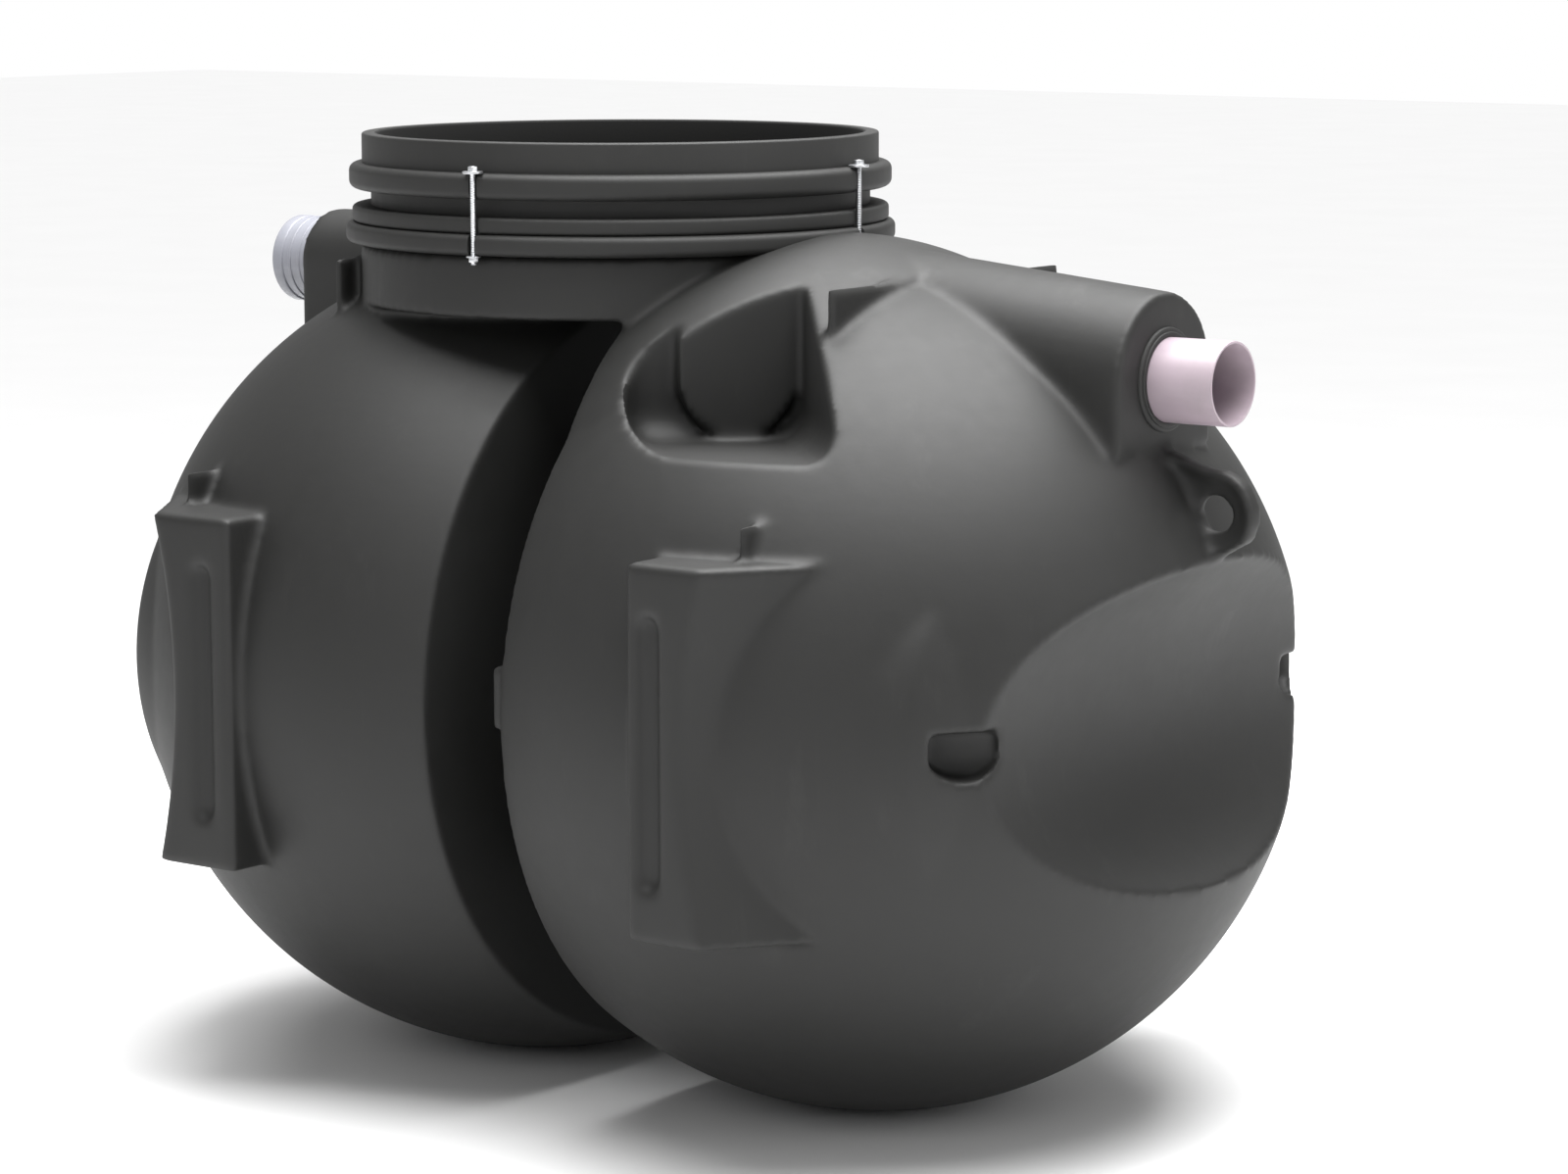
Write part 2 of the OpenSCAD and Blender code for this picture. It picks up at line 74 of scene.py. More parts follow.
# %% Helpers for objects
def only_none():
    bpy.ops.object.select_all(action="DESELECT")


def only(*objects):
    only_none()
    for o in objects:
        o.select_set(True)
    bpy.context.view_layer.objects.active = objects[0]
    return objects[0]


def modify(obj, kind, **settings):
    only(obj)
    mod = obj.modifiers.new(kind.title(), kind)
    for key, value in settings.items():
        setattr(mod, key, value)
    bpy.ops.object.modifier_apply(modifier=mod.name)
    return obj


def named(name):
    """Names the new primitive, and leaves its object at the origin."""
    obj = only(bpy.context.object)
    bpy.ops.object.transform_apply(location=True, rotation=True, scale=True)
    obj.name = obj.data.name = name
    return obj


def ball(name, r, x, y=0, z=CENTRE_Z, detail=192):
    only_none()
    bpy.ops.mesh.primitive_uv_sphere_add(segments=detail, ring_count=detail // 2, radius=r,
                                         location=(x, y, z))
    return named(name)


def rod(name, r, a, b, sides=192):
    """A cylinder from point a to point b."""
    only_none()
    a, b = Vector(a), Vector(b)
    turn = Vector((0, 0, 1)).rotation_difference(b - a).to_euler()
    bpy.ops.mesh.primitive_cylinder_add(vertices=sides, radius=r, depth=(b - a).length, location=(a + b) / 2,
                                        rotation=turn)
    return named(name)


def block(name, a, b):
    """A box between two corners."""
    only_none()
    a, b = Vector(a), Vector(b)
    bpy.ops.mesh.primitive_cube_add(size=1, location=(a + b) / 2, scale=b - a)
    return named(name)


def boolean(obj, tool, operation="DIFFERENCE"):
    modify(obj, "BOOLEAN", operation=operation, solver="MANIFOLD", object=tool)
    bpy.data.objects.remove(tool)
    return obj


def trim(obj, low, high):
    """Keeps only what lies in a box between two corners."""
    return boolean(obj, block("trim_box", low, high), "INTERSECT")


def pick(obj, kind, test):
    """Enters edit mode with only the edges or faces selected that pass the test."""
    only(obj)
    bpy.ops.object.mode_set(mode="EDIT")
    bpy.ops.mesh.select_mode(type=kind)
    bpy.ops.mesh.select_all(action="DESELECT")
    bpy.ops.object.mode_set(mode="OBJECT")
    points = obj.data.vertices
    for element in obj.data.edges if kind == "EDGE" else obj.data.polygons:
        element.select = test(element, [points[i].co for i in element.vertices])
    bpy.ops.object.mode_set(mode="EDIT")


def done():
    """Leaves edit mode."""
    bpy.ops.object.mode_set(mode="OBJECT")


def copy_of(obj, name):
    """A copy with its own mesh, without the frame's marks."""
    new = obj.copy()
    new.data = obj.data.copy()
    new.name = new.data.name = name
    bpy.context.scene.collection.objects.link(new)
    new.parent = None
    for key in [k for k in new.keys() if k.startswith("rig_")]:
        del new[key]
    return new


def turned(obj, matrix):
    """Moves the mesh itself, and turns the faces back out after a mirror."""
    obj.data.transform(matrix)
    if matrix.determinant() < 0:
        obj.data.flip_normals()
    return obj


def joined(name, parts):
    only(*parts)
    bpy.ops.object.join()
    parts[0].name = parts[0].data.name = name
    return parts[0]


FAR = Matrix.Scale(-1, 4, (0, 1, 0))
INLET_END = Matrix.Scale(-1, 4, (1, 0, 0))


def triangles(obj):
    obj.data.calc_loop_triangles()
    return len(obj.data.loop_triangles)


def mount(piece, nodes, sharp):
    """Shades a finished piece, hangs it on the one body, and hides the frame's nodes that it stands for."""
    only(piece)
    bpy.ops.object.shade_smooth_by_angle(angle=math.radians(sharp))
    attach(piece, "root")
    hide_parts(*nodes)
    print(piece.name, triangles(piece), "triangles")


print("helpers ready")

# %% [markdown]
# A rotomoulded tank is one skin: powder melts against the inside of a hot mould, so no edge on it is sharp
# and every corner is a soft fillet. Modelling each fillet by itself would take hundreds of bevels. Here the
# plain solids are put together first, a voxel remesh melts them into one skin, and smoothing rounds its
# edges, much as the real plastic does. First come the chambers: balls, cut flat at the groove, and at the
# outlet a smaller ball that makes the raised roof.

# %% The chambers
ROOF_R, ROOF_X, ROOF_Z = 0.472, 0.222, CENTRE_Z + 0.141
ROOF_FOOT, ROOF_END = CENTRE_Z + 0.355, 0.402


def chamber(name, side, r, face, floor):
    """The ball on one side of the groove, from the groove's face outwards and from the floor up."""
    near, end = sorted((side * face, side * BEYOND))
    return trim(ball(name, r, side * HALF_SPACING), (near, -ASIDE, floor), (end, ASIDE, BEYOND))


def roof(name, inset):
    """The raised roof that runs from the neck down onto the outlet chamber."""
    form = ball(name, ROOF_R - inset, ROOF_X, 0, ROOF_Z)
    return trim(form, (GROOVE + inset, -ASIDE, ROOF_FOOT), (ROOF_END - inset, ASIDE, BEYOND))


inlet = chamber("inlet_form", -1, CHAMBER_R, GROOVE, 0)
outlet = chamber("outlet_form", 1, CHAMBER_R, GROOVE, 0)
boolean(outlet, roof("roof_form", 0), "UNION")
print("chambers", triangles(inlet), triangles(outlet))

# %% [markdown]
# Each flank carries a blade, a thin upright fin. It is the edge of a lens, which is what two balls share,
# and the rest of the lens lies inside the chamber. One is made, and mirrored copies go to the other three
# places.

# %% The blades
BLADE_Y = -0.146
BLADE_R, BLADE_X = 0.3558, 0.491
BLADE_END_R, BLADE_END_X = 0.4580, 0.327
blade = ball("blade", BLADE_R, BLADE_X, BLADE_Y, BELT_Z)
boolean(blade, ball("blade_end", BLADE_END_R, BLADE_END_X, BLADE_Y, BELT_Z), "INTERSECT")
for form, turns in ((outlet, [Matrix.Identity(4), FAR]), (inlet, [INLET_END, FAR @ INLET_END])):
    for turn in turns:
        boolean(form, turned(copy_of(blade, "blade_copy"), turn), "UNION")
bpy.data.objects.remove(blade)
print("with blades", triangles(inlet), triangles(outlet))

# %% [markdown]
# What is cut out of the chambers: a deep channel across each end, where a strap or a neighbour tank lies, a
# slot beside it for the strap's hook, and a pocket in each shoulder of the outlet chamber with a blank face
# for a side pipe. The pocket is a box with rounded corners, less the blank face, which stays standing in it.

# %% The cutters
CHANNEL_R, CHANNEL_X, CHANNEL_HALF = 0.262, 0.983, 0.6
# The slot and the pocket are placed from the chamber's centre, with x turned 45 degrees to the near side.
QUARTER = Matrix.Translation((HALF_SPACING, 0, CENTRE_Z)) @ Matrix.Rotation(math.radians(-45), 4, "Z")
SLOT_BACK, SLOT_NEAR, SLOT_FAR, SLOT_TOP = 0.533, -0.034, 0.060, 0.036
BOW_R, BOW_Y, BOW_Z = 0.063, 0.013, 0.038
POCKET_BACK, POCKET_NEAR, POCKET_FAR, POCKET_FLOOR, POCKET_SOFT = 0.124, -0.362, -0.125, 0.355, 0.042
BLANK_FACE, BLANK_R, BLANK_Y, BLANK_Z, BLANK_SOFT = 0.155, 0.077, -0.2127, 0.436, 0.006


def channel(name, grow):
    """The channel across the end."""
    return rod(name, CHANNEL_R + grow, (CHANNEL_X, -CHANNEL_HALF, BELT_Z), (CHANNEL_X, CHANNEL_HALF, BELT_Z))


def slot_form(name, grow):
    """The strap's slot: flat on top and bowed below."""
    form = block(name, (SLOT_BACK - grow, SLOT_NEAR - grow, -0.05), (0.66, SLOT_FAR + grow, SLOT_TOP + grow))
    bow = rod("bow", BOW_R + grow, (0.5, BOW_Y, BOW_Z), (0.7, BOW_Y, BOW_Z), 96)
    boolean(form, bow, "INTERSECT")
    return turned(form, QUARTER)


def pocket(name, grow):
    """The shoulder's pocket, less the arched blank face in it."""
    form = block(name, (POCKET_BACK - grow, POCKET_NEAR - grow, POCKET_FLOOR - grow),
                 (0.60, POCKET_FAR + grow, 0.75))
    modify(form, "BEVEL", width=POCKET_SOFT, segments=6, limit_method="ANGLE")
    start, face = 0.05, BLANK_FACE - grow
    blank = rod("blank", BLANK_R - grow, (start, BLANK_Y, BLANK_Z), (face, BLANK_Y, BLANK_Z), 96)
    top = block("blank_top", (start, BLANK_Y - BLANK_R + grow, BLANK_Z),
                (face, BLANK_Y + BLANK_R - grow, 0.80))
    boolean(blank, top, "UNION")
    modify(blank, "BEVEL", width=BLANK_SOFT, segments=3, limit_method="ANGLE")
    boolean(form, blank)
    return turned(form, QUARTER)


def cut_everything(obj, side, grow):
    """Cuts the channel, the slots and, at the outlet, the pockets, grown by a wall for the space inside."""
    end = Matrix.Identity(4) if side > 0 else INLET_END
    tools = [channel("tool", grow), slot_form("tool", grow), turned(slot_form("tool", grow), FAR)]
    if side > 0:
        tools += [pocket("tool", grow), turned(pocket("tool", grow), FAR)]
    for tool in tools:
        boolean(obj, turned(tool, end))
    return obj


cut_everything(inlet, -1, 0)
cut_everything(outlet, 1, 0)
print("cut chambers", triangles(inlet), triangles(outlet))

# %% [markdown]
# The foot pads, the webs, the lifting ears and the tabs stand out of the chambers. Their solids are in the
# frame already, so copies of the frame's own nodes are used. A copy's loose triangles are merged first.

# %% Copies of the standing pieces
def node_copy(node):
    """A copy of one of the frame's nodes with its loose triangles merged."""
    obj = copy_of(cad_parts[node], node + "_copy")
    pick(obj, "FACE", lambda face, points: True)
    bpy.ops.mesh.remove_doubles(threshold=0.00002)
    done()
    obj.hide_render = obj.hide_viewport = False
    return obj


SIDES = [f"{end}_{side}" for end in ("inlet", "outlet") for side in ("near", "far")]
STANDING = [s + "_pad" for s in SIDES] + [s + "_web" for s in SIDES]
STANDING += ["inlet_ear", "outlet_ear", "waist_tabs"]
standing = [node_copy(n) for n in STANDING]
print("copies", len(standing))

# %% [markdown]
# The neck is a short upright drum, and from it a hood runs out to each pipe: an arch on straight sides. The
# outlet hood falls a little towards its end. A drum lying in the groove joins the two chambers.

# %% The neck, the hoods and the passage
OUTLET_HOOD_R, OUTLET_HOOD_DROP, OUTLET_HOOD_RUN, OUTLET_HOOD_FALL = 0.112, 0.090, 0.93, math.radians(5.5)
INLET_HOOD_R, INLET_HOOD_DROP = 0.075, 0.22
LAP = 0.02  # how far the passage reaches into each chamber


def outlet_hood(name, inset):
    """Built level, ending at the pipe's centre, then tipped and cut upright at its end and at the groove."""
    r, drop, run = OUTLET_HOOD_R - inset, OUTLET_HOOD_DROP - inset, OUTLET_HOOD_RUN
    arch = rod(name, r, (-run, 0, 0), (r, 0, 0))
    boolean(arch, block("sides", (-run, -r, -drop), (r, r, 0)), "UNION")
    turned(arch, Matrix.Translation((OUTLET_FACE, 0, OUTLET_Z)) @ Matrix.Rotation(OUTLET_HOOD_FALL, 4, "Y"))
    return trim(arch, (GROOVE + inset, -ASIDE, 0), (OUTLET_FACE - inset, ASIDE, BEYOND))


def inlet_hood(name, inset):
    r, low = INLET_HOOD_R - inset, INLET_Z - INLET_HOOD_DROP + inset
    arch = rod(name, r, (INLET_FACE + inset, 0, INLET_Z), (RISER_X, 0, INLET_Z))
    return boolean(arch, block("sides", (INLET_FACE + inset, -r, low), (RISER_X, r, INLET_Z)), "UNION")


def neck(name, r, low, high):
    return rod(name, r, (RISER_X, 0, low), (RISER_X, 0, high), 256)


def passage(name, r):
    return rod(name, r, (-GROOVE - LAP, 0, CENTRE_Z), (GROOVE + LAP, 0, CENTRE_Z))


body = [inlet, outlet, neck("neck", NECK_R, NECK_FLOOR, NECK_TOP),
        outlet_hood("hood", 0), inlet_hood("hood", 0), passage("passage", PASSAGE_R)]
print("hoods and neck added")

# %% [markdown]
# Now the solids are joined and melted into one skin. The voxel size sets how fine the skin is: 6 mm keeps
# the narrow grooves of the pads and still stays light. A few rounds of smoothing give every edge its fillet.

# %% One skin
SKIN_VOXEL, SMOOTHINGS = ((0.006, 7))
skin = joined("tank_skin", body + standing)
modify(skin, "REMESH", mode="VOXEL", voxel_size=SKIN_VOXEL)
modify(skin, "SMOOTH", factor=0.5, iterations=SMOOTHINGS)
print("skin", triangles(skin))

# %% [markdown]
# The tank is hollow, and through the open riser one sees into it. The space inside is built like the
# outside, one wall smaller and in larger voxels, and cut out of the skin. It comes up through the neck, so
# it opens the mouth. The neck's floor over the groove is kept a little thicker than a wall, so that the
# voxels don't break through it.

# %% The space inside
INSIDE_VOXEL = 0.016
NECK_FLOOR_T = 0.013
space = [chamber("in_space", -1, CHAMBER_R - WALL, GROOVE + WALL, WALL),
         chamber("out_space", 1, CHAMBER_R - WALL, GROOVE + WALL, WALL)]
boolean(space[1], roof("roof_space", WALL), "UNION")
cut_everything(space[0], -1, WALL)
cut_everything(space[1], 1, WALL)
space += [neck("neck_space", NECK_R - WALL, NECK_FLOOR + NECK_FLOOR_T, NECK_TOP + 0.1),
          outlet_hood("hood_space", WALL), inlet_hood("hood_space", WALL),
          passage("passage_space", PASSAGE_R - WALL)]
inside = joined("inside", space)
modify(inside, "REMESH", mode="VOXEL", voxel_size=INSIDE_VOXEL)
boolean(skin, inside)
print("shell", triangles(skin))

# %% [markdown]
# The mould parts along the tank's middle plane. The shell is split there and in the groove, which keeps each
# piece light, and each quarter stands for the frame's nodes in it.

# %% Four quarters
quarters = []
for name, sx, sy in (("inlet_near_quarter", -1, -1), ("inlet_far_quarter", -1, 1),
                     ("outlet_near_quarter", 1, -1), ("outlet_far_quarter", 1, 1)):
    x0, x1 = sorted((0, sx * BEYOND))
    y0, y1 = sorted((0, sy * BEYOND))
    part = trim(copy_of(skin, name), (x0, y0, -0.1), (x1, y1, BEYOND))
    end, side = name.split("_")[:2]
    shared = [f"{end}_{n}" for n in ("base", "waist_wall", "hood", "ear")]
    own = [f"{end}_lower_{side}_wall", f"{end}_upper_{side}_wall", f"{end}_{side}_pad", f"{end}_{side}_web"]
    middle = ["waist_passage", "neck_floor", f"neck_{side}_wall"] + (["waist_tabs"] if sx > 0 else [])
    mount(part, shared + own + middle, 50)
    quarters.append(part)
bpy.data.objects.remove(skin)

# %% [markdown]
# The riser and the flange under it are turned parts. Each ring starts as a cylinder, its ends are inset and
# bridged to open the bore, and a bevel rounds its edges.

# %% Rings
def ring(name, r_out, r_in, a, b, soft=0.0, sides=192, segments=3):
    """A tube between two points on its axis, with rounded edges."""
    obj = rod(name, r_out, a, b, sides)
    axis = (Vector(b) - Vector(a)).normalized()
    pick(obj, "FACE", lambda face, points: abs(face.normal.dot(axis)) > 0.99)
    bpy.ops.mesh.inset(thickness=r_out - r_in)
    bpy.ops.mesh.bridge_edge_loops()
    done()
    if soft:
        modify(obj, "BEVEL", width=soft, segments=segments, limit_method="ANGLE",
               angle_limit=math.radians(40))
    return obj


BORE_R, FLANGE_R, FOOT_R, BAND_R, BEAD_R, RIM_R = 0.339, 0.383, 0.374, 0.348, 0.378, 0.360
# The heights at which the foot, the band, the bead and the rim begin. BITE is a ring's reach into the next.
FOOT, BAND, BEAD, RIM = NECK_TOP + 0.028, NECK_TOP + 0.051, NECK_TOP + 0.074, NECK_TOP + 0.109
TOP = RIM + 0.041
BITE = 0.004


def riser_ring(name, r, low, high, soft, segments=4):
    """A ring round the riser's axis."""
    return ring(name, r, BORE_R, (RISER_X, 0, low), (RISER_X, 0, high), soft, 256, segments)


flange = riser_ring("neck_flange_ring", FLANGE_R, NECK_TOP, FOOT, 0.009, 5)
riser_parts = [riser_ring("foot", FOOT_R, FOOT, BAND, 0.006),
               riser_ring("band", BAND_R, BAND - BITE, BEAD + BITE, 0),
               riser_ring("bead", BEAD_R, BEAD, RIM, 0.011, 6),
               riser_ring("rim", RIM_R, RIM - BITE, TOP, 0.003)]
riser = riser_parts[0]
for part in riser_parts[1:]:
    boolean(riser, part, "UNION")
riser.name = riser.data.name = "riser_ring"
print("riser", triangles(riser), "flange", triangles(flange))

# %% [markdown]
# Four long bolts clamp the riser to the neck. Each stands in a notch through the bead, the foot and the
# flange. The bolt is threaded, with a wide washer on the bead and a nut on a washer under the flange.

# %% Clamps
CLAMPS, CLAMP_R, CLAMP_TURN = 4, 0.377, math.radians(-82.5)
BOLT_R, BOLT_BELOW, BOLT_ABOVE = 0.004, 0.012, 0.010
THREAD_RINGS, THREAD_ROOT = 80, 0.84
WIDE_R, WIDE_T = 0.014, 0.003
NARROW_R, NARROW_T = 0.010, 0.002
NUT_R, NUT_T = 0.0072, 0.0064
NOTCH_HALF = 0.006


def around(obj, turn):
    """Turns a piece made at angle 0 round the riser's axis to its place."""
    return turned(obj, Matrix.Translation((RISER_X, 0, 0)) @ Matrix.Rotation(turn, 4, "Z"))


def hexagon(name, r, low, high):
    obj = rod(name, r, (CLAMP_R, 0, low), (CLAMP_R, 0, high), 6)
    return modify(obj, "BEVEL", width=0.0008, segments=2)


def clamp_ring(name, r, low, high):
    return ring(name, r, BOLT_R * 0.99, (CLAMP_R, 0, low), (CLAMP_R, 0, high), 0.0006, 32, 2)


def bolt(name, low, high):
    """A rod with a rolled thread: the rings of its side faces are scaled in and out in turn."""
    obj = rod(name, BOLT_R, (CLAMP_R, 0, low), (CLAMP_R, 0, high), 16)
    pick(obj, "EDGE", lambda edge, points: abs(points[0].z - points[1].z) > 0.01)
    bpy.ops.mesh.subdivide(number_cuts=THREAD_RINGS)
    done()
    step = (high - low) / (THREAD_RINGS + 1)
    for v in obj.data.vertices:
        if round((v.co.z - low) / step) % 2:
            v.co.x = CLAMP_R + (v.co.x - CLAMP_R) * THREAD_ROOT
            v.co.y = v.co.y * THREAD_ROOT
    return obj


bolts, washers, nuts = [], [], []
upper, lower = RIM + WIDE_T, NECK_TOP - NARROW_T
for i in range(CLAMPS):
    turn = CLAMP_TURN + i * 2 * math.pi / CLAMPS
    for obj in (riser, flange):
        notch = block("notch", (CLAMP_R - NOTCH_HALF, -NOTCH_HALF, lower),
                      (CLAMP_R + 0.03, NOTCH_HALF, RIM + 0.001))
        boolean(obj, around(notch, turn))
    bolts.append(around(bolt("bolt", NECK_TOP - BOLT_BELOW, RIM + BOLT_ABOVE), turn))
    washers.append(around(clamp_ring("washer", WIDE_R, RIM, upper), turn))
    washers.append(around(clamp_ring("washer", NARROW_R, lower, NECK_TOP), turn))
    nuts.append(around(hexagon("nut", NUT_R, upper, upper + NUT_T), turn))
    nuts.append(around(hexagon("nut", NUT_R, lower - NUT_T, lower), turn))
bolts = joined("bolts_threaded", bolts)
washers = joined("washers_round", washers)
nuts = joined("nuts_hexagonal", nuts)
for piece, node, slot_name in ((riser, "riser", "tank_plastic"),
                               (flange, "neck_flange", "tank_plastic"),
                               (bolts, "clamp_bolts", "zinc_steel"),
                               (washers, "clamp_washers", "zinc_steel"),
                               (nuts, "clamp_nuts", "zinc_steel")):
    mount(piece, [node], 35)

# %% [markdown]
# The pipes are plain: a thin-walled outlet pipe with its cut end, and at the inlet a socket with a raised
# mouth and two ridges. Each leaves its hood through a black rubber seal. The outlet's seal has a second,
# smaller lip.

# %% Pipes and seals
def along(x0, x1, z):
    """The two ends of a piece that lies along the pipes' axis."""
    return (x0, 0, z), (x1, 0, z)


PIPE_R, PIPE_WALL, PIPE_OUT, PIPE_IN = 0.055, 0.0032, 0.101, 0.06
SEAL_R, SEAL_OUT, LIP_R, LIP_OUT, FIT = 0.068, 0.004, 0.062, 0.006, 0.0001
SOCKET_R, SOCKET_OUT, SOCKET_IN = 0.061, 0.070, 0.020
pipe = ring("outlet_pipe_tube", PIPE_R, PIPE_R - PIPE_WALL,
            *along(OUTLET_FACE - PIPE_IN, OUTLET_FACE + PIPE_OUT, OUTLET_Z), 0.0008, 128, 2)
seal = ring("outlet_seal_ring", SEAL_R, PIPE_R + FIT,
            *along(OUTLET_FACE - WALL, OUTLET_FACE + SEAL_OUT, OUTLET_Z), 0.003, 128)
lip = ring("lip", LIP_R, PIPE_R + FIT, *along(OUTLET_FACE, OUTLET_FACE + LIP_OUT, OUTLET_Z), 0.0015, 128)
outlet_seal = joined("outlet_seal_ring", [seal, lip])
mouth = INLET_FACE - SOCKET_OUT
socket_parts = [ring("mouth", 0.063, PIPE_R, *along(mouth, mouth + 0.020, INLET_Z), 0.003, 128),
                ring("sleeve", SOCKET_R, PIPE_R,
                     *along(mouth + 0.010, INLET_FACE + SOCKET_IN, INLET_Z), 0.001, 128),
                ring("ridge", 0.0625, PIPE_R, *along(mouth + 0.030, mouth + 0.036, INLET_Z), 0.0015, 128),
                ring("ridge", 0.0620, PIPE_R, *along(mouth + 0.048, mouth + 0.053, INLET_Z), 0.0010, 128)]
socket = socket_parts[0]
for part in socket_parts[1:]:
    boolean(socket, part, "UNION")
socket.name = socket.data.name = "inlet_socket_tube"
inlet_seal = ring("inlet_seal_ring", SEAL_R, SOCKET_R + FIT,
                  *along(INLET_FACE - SEAL_OUT, INLET_FACE + WALL - 0.001, INLET_Z), 0.002, 128)
for piece, node, slot_name in ((pipe, "outlet_pipe", "pipe_plastic"),
                               (outlet_seal, "outlet_seal", "seal_rubber"),
                               (socket, "inlet_socket", "socket_plastic"),
                               (inlet_seal, "inlet_seal", "seal_rubber")):
    mount(piece, [node], 35)

# %% [markdown]
# Materials are sums of simple masks. A small class wraps a socket of the node tree, so that masks can be
# written as ordinary expressions, and one method adds any other node.

# %% Material tools
class Value:
    """A socket that can be added, subtracted and multiplied."""

    def __init__(self, tree, socket):
        self.tree, self.socket = tree, socket

    def math(self, operation, other, swap=False):
        first, second = (other, self) if swap else (self, other)
        return self.tree.node("ShaderNodeMath", {"operation": operation}, {0: first, 1: second})

    def __add__(self, o): return self.math("ADD", o)
    def __radd__(self, o): return self.math("ADD", o, True)
    def __sub__(self, o): return self.math("SUBTRACT", o)
    def __rsub__(self, o): return self.math("SUBTRACT", o, True)
    def __mul__(self, o): return self.math("MULTIPLY", o)
    def __rmul__(self, o): return self.math("MULTIPLY", o, True)


class Finish:
    """A new material and what its nodes are built with."""

    def __init__(self, name, **constants):
        self.material = bpy.data.materials.new(name)
        self.material.use_nodes = True
        self.nodes = self.material.node_tree.nodes
        self.links = self.material.node_tree.links
        self.shader = self.nodes["Principled BSDF"]
        for key, value in constants.items():
            self.shader.inputs[key.replace("_", " ")].default_value = value

    def node(self, kind, settings=None, inputs=None, output=0):
        node = self.nodes.new(kind)
        for key, value in (settings or {}).items():
            if key == "stops":
                ramp = node.color_ramp
                while len(ramp.elements) < len(value):
                    ramp.elements.new(0.5)
                for element, (place, shade) in zip(ramp.elements, value):
                    element.position = place
                    element.color = (shade, shade, shade, 1)
            else:
                setattr(node, key, value)
        for key, value in (inputs or {}).items():
            self.put(node.inputs[key], value)
        return Value(self, node.outputs[output])

    def put(self, target, value):
        if isinstance(value, Value):
            self.links.new(value.socket, target)
        else:
            target.default_value = value

    def place(self):
        return self.node("ShaderNodeTexCoord", output="Object")

    def noise(self, scale, detail=4, roughness=0.5, stretch=(1, 1, 1)):
        at = self.node("ShaderNodeMapping", {}, {"Vector": self.place(), "Scale": stretch})
        return self.node("ShaderNodeTexNoise", {}, {"Vector": at, "Scale": scale, "Detail": detail,
                                                    "Roughness": roughness})

    def ramp(self, value, stops):
        return self.node("ShaderNodeValToRGB", {"stops": stops}, {"Fac": value})

    def mix(self, mask, a, b):
        return self.node("ShaderNodeMix", {"data_type": "RGBA"}, {0: mask, 6: a, 7: b}, output=2)

    def bump(self, height, strength, distance):
        return self.node("ShaderNodeBump", {}, {"Height": height, "Strength": strength,
                                                "Distance": distance})

    def set(self, **links):
        for key, value in links.items():
            self.put(self.shader.inputs[key.replace("_", " ")], value)
        return self.material


print("material tools ready")

# %% [markdown]
# The tank's plastic is nearly black and matt. Close up it has a fine grain from the powder, seen from afar
# faint clouds where it cooled unevenly, and here and there a pale scuff from handling. The bore of the riser
# and of the flange gets painted shade: a much darker base colour stands in for the shade inside it, and a
# rougher finish.

# %% Moulded plastic
def tank_plastic():
    f = Finish("tank_plastic", IOR=1.5)
    clouds = f.noise(3.0, 5, 0.6)
    mottle = f.noise(38.0, 3, 0.6)
    grain = f.noise(900.0, 2, 0.6)
    scuffs = f.ramp(f.noise(9.0, 8, 0.72, (1, 1, 0.35)), [(0.60, 0), (0.78, 1)])
    lines = f.ramp(f.noise(60.0, 2, 0.5, (1, 1, 0.06)), [(0.66, 0), (0.76, 1)])
    shade = f.mix(clouds, (0.0050, 0.0050, 0.0045, 1), (0.0085, 0.0085, 0.0078, 1))
    shade = f.mix(mottle * 0.35, shade, (0.015, 0.015, 0.0142, 1))
    shade = f.mix(scuffs * 0.16 + lines * 0.05, shade, (0.050, 0.049, 0.046, 1))
    rough = 0.50 + 0.10 * clouds + 0.08 * mottle - 0.06 * scuffs
    relief = f.bump(grain * 0.6 + mottle * 1.2, 0.35, 0.0006)
    return f.set(Base_Color=shade, Roughness=rough, Normal=relief)


def bore_painted_shade():
    """Painted shade: a much darker base colour stands in for the shade inside the bore, varied in random
    blotches, and the surface is rougher.
    """
    f = Finish("tank_bore_painted_shade", IOR=1.4)
    shade_and_stain = f.noise(6.0, 5, 0.6)
    # Painted shade: the base colour is far darker than the tank's plastic, varied in random blotches.
    shade = f.mix(shade_and_stain, (0.0015, 0.0015, 0.0014, 1), (0.005, 0.005, 0.0045, 1))
    return f.set(Base_Color=shade, Roughness=0.80 + 0.15 * shade_and_stain, Normal=f.bump(f.noise(300.0), 0.3, 0.0006))


def finish(piece, *materials):
    piece.data.materials.clear()
    for material in materials:
        piece.data.materials.append(material)


TANK, PAINTED_BORE_SHADE = tank_plastic(), bore_painted_shade()
BORE_LIMIT = BORE_R + 0.006
axis_foot = Vector((RISER_X, 0, 0))
for piece in quarters:
    finish(piece, TANK)
# The bore faces of the riser and the flange take the second material, the painted shade.
for piece in (riser, flange):
    finish(piece, TANK, PAINTED_BORE_SHADE)
    for face in piece.data.polygons:
        out = (face.center - axis_foot).xy
        if out.length < BORE_LIMIT and face.normal.xy.dot(out) < 0:
            face.material_index = 1
print("plastic on", len(quarters) + 2, "pieces")

# %% [markdown]
# The pipe is a pale pinkish plastic with a soft gloss and faint draw marks along it, the socket a bluish
# grey one. The seals are black rubber, and the bolts are bright zinc with a fine streak.

